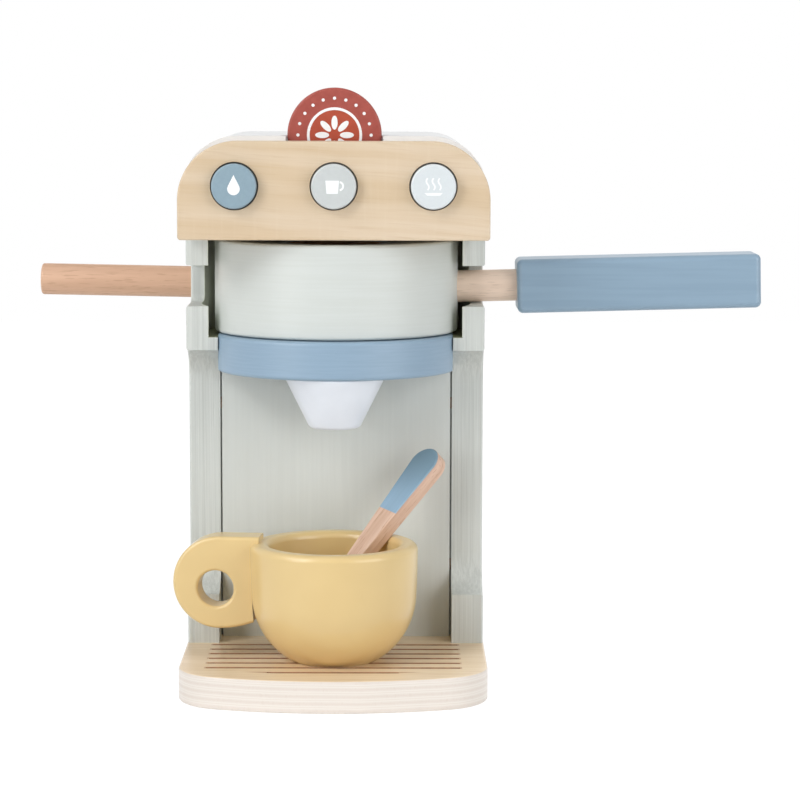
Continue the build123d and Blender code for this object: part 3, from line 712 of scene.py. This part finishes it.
def drum_paint():
    """Sage with faint turning marks, and bare wood inside the well."""
    paint = Finish("drum_sage")
    turned = paint.fibres((30, 30, 1100), 3.0)
    cloud = paint.fibres((14, 14, 14), 2.0)
    sage = paint.blend(turned.step(0.3, 0.7), linear(208, 213, 210), linear(204, 209, 205))
    sage = paint.blend(cloud.step(0.3, 0.7) * 0.4, sage, linear(202, 207, 203))
    reach = paint.from_axis(paint.x, paint.y - (DRUM_LOW.y + WELL_MARGIN + WELL_RADIUS))
    below_rim = paint.z.fall(DRUM_HIGH.z - 1.0 * MM, DRUM_HIGH.z - 0.5 * MM)
    bare = below_rim * reach.fall(WELL_RADIUS + 2 * HAIR, WELL_RADIUS + SOFT)
    streak = paint.fibres((200, 200, 1500), 3.0)
    brown = paint.blend(streak.step(0.3, 0.7), linear(196, 142, 100), linear(170, 118, 80))
    colour = paint.blend(bare, sage, brown)
    return paint.finish(colour, 0.48, turned, 0.00002, coat=0.3)


wear("portafilter_drum", drum_paint())
wear("pivot_dowel", beech("beech_upright", GRAIN_Z))

# ---------------------------------------------------------------- handle
# A beech dowel in the drum carries a square grip with rounded edges, painted
# blue over long brush strokes.
# The rod's beech is paler than that of the other dowels: painted light for the extra light the rod takes.
wear("handle_rod", beech("beech_with_painted_light", GRAIN_X, (229, 205, 185)))
wear("handle_grip", spray_paint("grip_blue", (134, 159, 179), 0.34, 0.4, (14, 420, 420), 0.35))

# ---------------------------------------------------------------- steam wand
# A short beech dowel glued into the left side panel, its end rounded over.
wear("steam_wand", beech("beech_wand", GRAIN_X, (206, 167, 139)))


# ---------------------------------------------------------------- cup
# A turned wooden cup with a thick rim and a flat ring glued on as its handle,
# both dipped in pale yellow.
def cup_paint():
    """Glossy yellow with a faint cloud in its tone."""
    paint = Finish("cup_yellow")
    cloud = paint.fibres((30, 30, 30), 2.0)
    skin = paint.fibres((500, 500, 500), 3.0)
    colour = paint.blend(cloud.step(0.3, 0.7), linear(226, 199, 141), linear(221, 193, 135))
    return paint.finish(colour, skin * 0.06 + 0.34, skin, 0.00002, coat=0.5, coat_roughness=0.14)


cup_yellow = cup_paint()
wear("cup_bowl", cup_yellow)
wear("cup_handle", cup_yellow)

# ---------------------------------------------------------------- stirrer
# A flat tapered beech stick that leans in the cup, dipped blue on the top part of
# its upper face only.
STICK_LENGTH = 89.0 * MM
STICK_THICKNESS = 6.0 * MM
BLUE_LENGTH = 29.8 * MM
RIM_HEADING = 43.9
CUP_MIDDLE_Y = -45.5


def in_cup(radius, heading, height):
    """A point in the cup, in millimetres round the cup's axis."""
    angle = radians(heading)
    return Vector((radius * cos(angle), CUP_MIDDLE_Y + radius * sin(angle), height)) * MM


STICK_FOOT = in_cup(13.45, 184.6, 19.78)
STICK_LEAN = in_cup(21.1, RIM_HEADING, 55.9) - STICK_FOOT


def stick_finish():
    """Beech whose grain follows the stick, with blue on the upper half of its top face."""
    wood = Finish("stirrer_beech")
    heading = atan2(STICK_LEAN.y, STICK_LEAN.x)
    tilt = atan2(hypot(STICK_LEAN.x, STICK_LEAN.y), STICK_LEAN.z)
    roll = atan(tan(radians(RIM_HEADING) - heading) * cos(tilt))
    turn = (Matrix.Rotation(heading, 3, "Z") @ Matrix.Rotation(tilt, 3, "Y")
            @ Matrix.Rotation(roll, 3, "Z"))
    from_foot = wood.node("ShaderNodeVectorMath", {"operation": "SUBTRACT"},
                          {0: wood.place, 1: STICK_FOOT})[0]

    def measured(axis):
        """How far a point lies from the foot along one axis of the stick."""
        values = {0: from_foot, 1: turn @ Vector(axis)}
        return wood.node("ShaderNodeVectorMath", {"operation": "DOT_PRODUCT"}, values)[1]

    across, above, along = measured((0, 1, 0)), measured((-1, 0, 0)), measured((0, 0, 1))
    own = wood.node("ShaderNodeCombineXYZ", None, {0: across, 1: above, 2: along})[0]
    streak = wood.fibres((500, 500, 20), 3.0, place=own)
    fleck = wood.fibres((1500, 1500, 150), 2.0, place=own)
    bare = wood.blend(streak.step(0.3, 0.7), linear(226, 195, 174), linear(212, 176, 152))
    bare = wood.blend(fleck.step(0.55, 0.7) * 0.65, bare, linear(186, 142, 116))
    start = STICK_LENGTH - BLUE_LENGTH
    blue = wood.blend(along.step(start, STICK_LENGTH), linear(150, 180, 204), linear(124, 152, 168))
    blue = wood.blend(streak.step(0.3, 0.7) * 0.25, blue, linear(128, 156, 174))
    top_face = STICK_THICKNESS / 2 - 0.4 * MM
    dipped = along.step(start - 3 * HAIR, start + 3 * HAIR) * above.step(top_face - HAIR, top_face + HAIR)
    return wood.finish(wood.blend(dipped, bare, blue), 0.48, streak, 0.00003)


wear("stirrer", stick_finish())


# ---------------------------------------------------------------- fasteners
# Bright steel screws and springs, and beech pins. Only the heads of the six screws
# in the underside of the base show, each with a cross slot drawn as two thin dark
# steel bars: painted shade for the recess.
def steel(name, tone):
    """Bare metal with fine scratches in its shine."""
    metal = Finish(name)
    scratches = metal.fibres((800, 800, 800), 3.0)
    return metal.finish(toned(tone), scratches * 0.2 + 0.25, metallic=1.0)


bright_steel = steel("bright_steel", (178, 178, 180))
for screws in ("base_screws", "shelf_screws", "head_screws"):
    wear(screws, bright_steel)
for side in ("left", "middle", "right"):
    wear(f"{side}_button_spring", bright_steel)
HEAD_RADIUS = 3.5 * MM
SIDE_PANEL_HALF = 6.0 * MM
SCREW_LOW, SCREW_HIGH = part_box("base_screws")
BAR_STEP = 0.01 * MM


def cross_slot_tree():
    """A cross of two thin bars on every point of the seed."""
    tree, given = open_tree("cross_slots", {"Points": "Geometry", "Length": "Float", "Width": "Float",
                                            "Thickness": "Float", "Finish": "Material"})
    bars = tree_node(tree, "GeometryNodeJoinGeometry")
    for long_side, short_side, lift in (("X", "Y", BAR_STEP), ("Y", "X", 0)):
        size = tree_node(tree, "ShaderNodeCombineXYZ", None,
                         {long_side: given["Length"], short_side: given["Width"], "Z": given["Thickness"]})
        bar = tree_node(tree, "GeometryNodeMeshCube", None, {"Size": size.outputs[0]})
        lifted = tree_node(tree, "GeometryNodeTransform", None,
                           {"Geometry": bar.outputs[0], "Translation": (0, 0, lift)})
        tree.links.new(lifted.outputs[0], bars.inputs[0])
    placed = tree_node(tree, "GeometryNodeInstanceOnPoints", None,
                       {"Points": given["Points"], "Instance": bars.outputs[0]})
    solid = tree_node(tree, "GeometryNodeRealizeInstances", None, {"Geometry": placed.outputs[0]})
    return close_tree(tree, solid.outputs[0], given["Finish"])


side_x = SCREW_HIGH.x - HEAD_RADIUS
back_x = (side_x - SIDE_PANEL_HALF) / 2
side_ys = (SCREW_LOW.y + HEAD_RADIUS, SCREW_HIGH.y - HEAD_RADIUS)
screw_spots = [(x, y, SCREW_LOW.z) for x in (-side_x, side_x) for y in side_ys]
screw_spots += [(x, 0, SCREW_LOW.z) for x in (-back_x, back_x)]
# The dark bars are painted shade that stands in for the recess of each cross slot.
slots = {"Length": 3.8 * MM, "Width": 0.8 * MM, "Thickness": 0.1 * MM,
         "Finish": steel("slot_painted_shade", (58, 58, 60))}
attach(grown("screw_cross_slots", cross_slot_tree(), slots, Vector((0, 0, 0)), screw_spots), "housing")
wear("joint_dowels", beech_along)
wear("fascia_dowels", beech("beech_deep", GRAIN_X))
